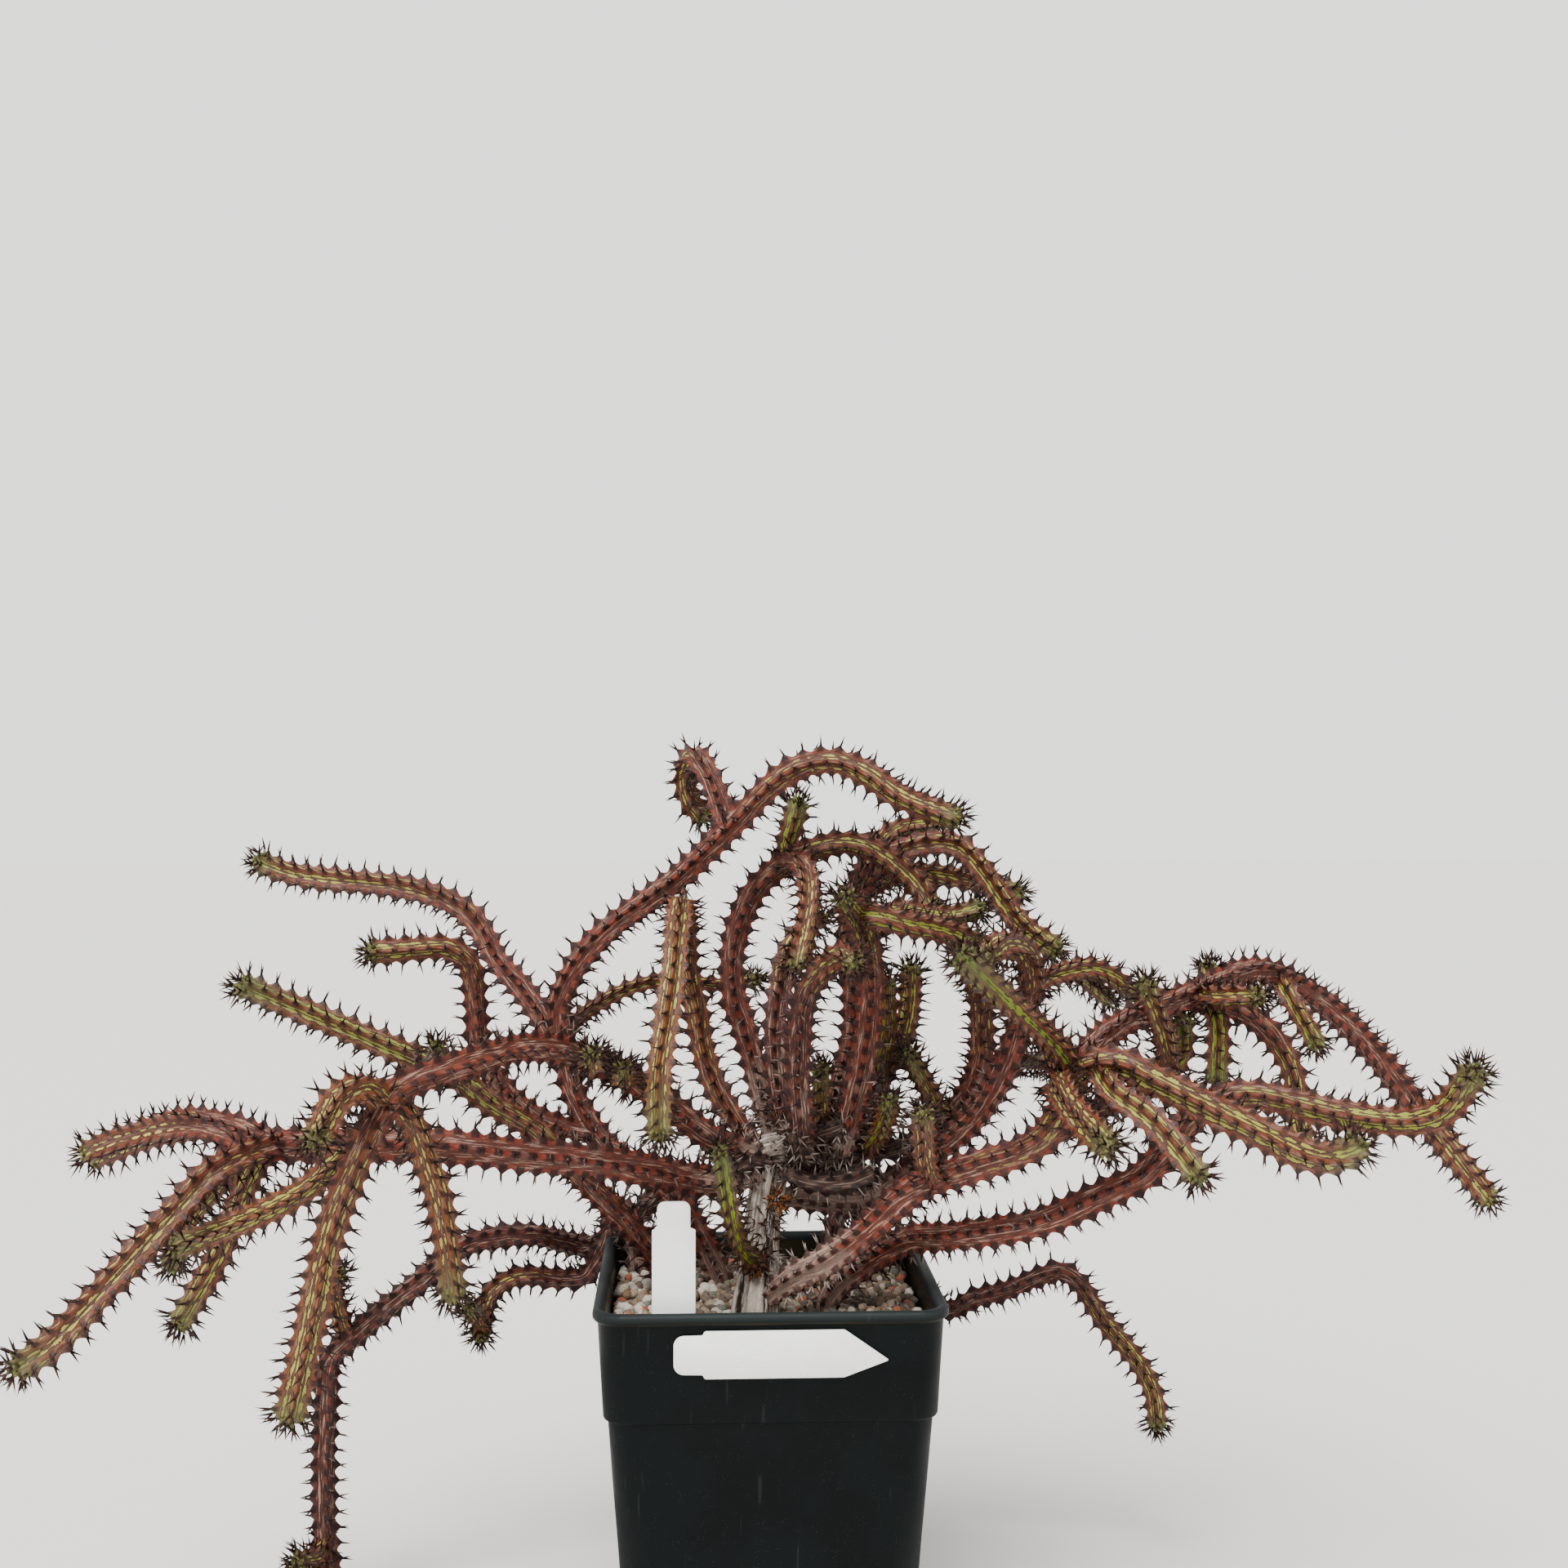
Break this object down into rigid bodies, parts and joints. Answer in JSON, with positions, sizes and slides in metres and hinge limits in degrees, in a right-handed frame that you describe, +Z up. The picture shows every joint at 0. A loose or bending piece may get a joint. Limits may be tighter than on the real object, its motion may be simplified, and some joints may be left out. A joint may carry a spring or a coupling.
{
  "type": "potted spiny succulent",
  "caption": "Spiny, ribbed, many-stemmed succulent sprawling from a short woody trunk in a square nursery pot of gravel, with two bare plant labels.",
  "frame": {"origin": "middle of the pot's underside", "axes": "+Z up, -Y towards the viewer and the front label, +X to the viewer's right along the longest spread"},
  "size_m": [0.4727, 0.234, 0.2975],
  "materials": {
    "pot_plastic": "matte black moulded plastic, finely speckled, dusty",
    "gravel": "loose mixed grit of cream, tan, orange, grey and brown grains",
    "trunk_bark": "pale grey fibrous bark",
    "label_plastic": "plain white plastic, bare",
    "stem_old": "red-brown ribbed stem skin with pale grey streaks, satin",
    "stem_golden": "orange-brown ribs with yellow-green grooves, satin",
    "stem_green": "brown ribs with wide green grooves, satin",
    "stem_dark": "dark maroon-brown stem skin, satin",
    "shoot_young": "orange-brown young shoot, satin",
    "shoot_green": "green young shoot with brown rib edges, satin",
    "spines": "dark brown-grey dry spines"
  },
  "bodies": {
    "root": {"pot": "pot_plastic", "gravel_bed": "gravel", "trunk": "trunk_bark", "label_upright": "label_plastic", "label_front": "label_plastic", "stem_left_reach": "stem_old", "stem_front_arch": "stem_golden", "stem_left_high": "stem_old", "stem_left_green": "stem_green", "stem_low_left_long": "stem_dark", "stem_low_left_short": "stem_dark", "stem_low_right": "stem_dark", "stem_front_low": "stem_old", "stem_front_mid": "stem_old", "stem_right_rise": "stem_old", "stem_fold": "stem_golden", "stem_centre_tall": "stem_old", "stem_centre_a": "stem_dark", "stem_centre_b": "stem_dark", "stem_centre_c": "stem_old", "stem_centre_d": "stem_old", "stem_centre_e": "stem_dark", "shoot_crown_front": "shoot_young", "shoot_crown_up": "shoot_young", "shoot_trunk": "shoot_green"}
  },
  "joints": []
}
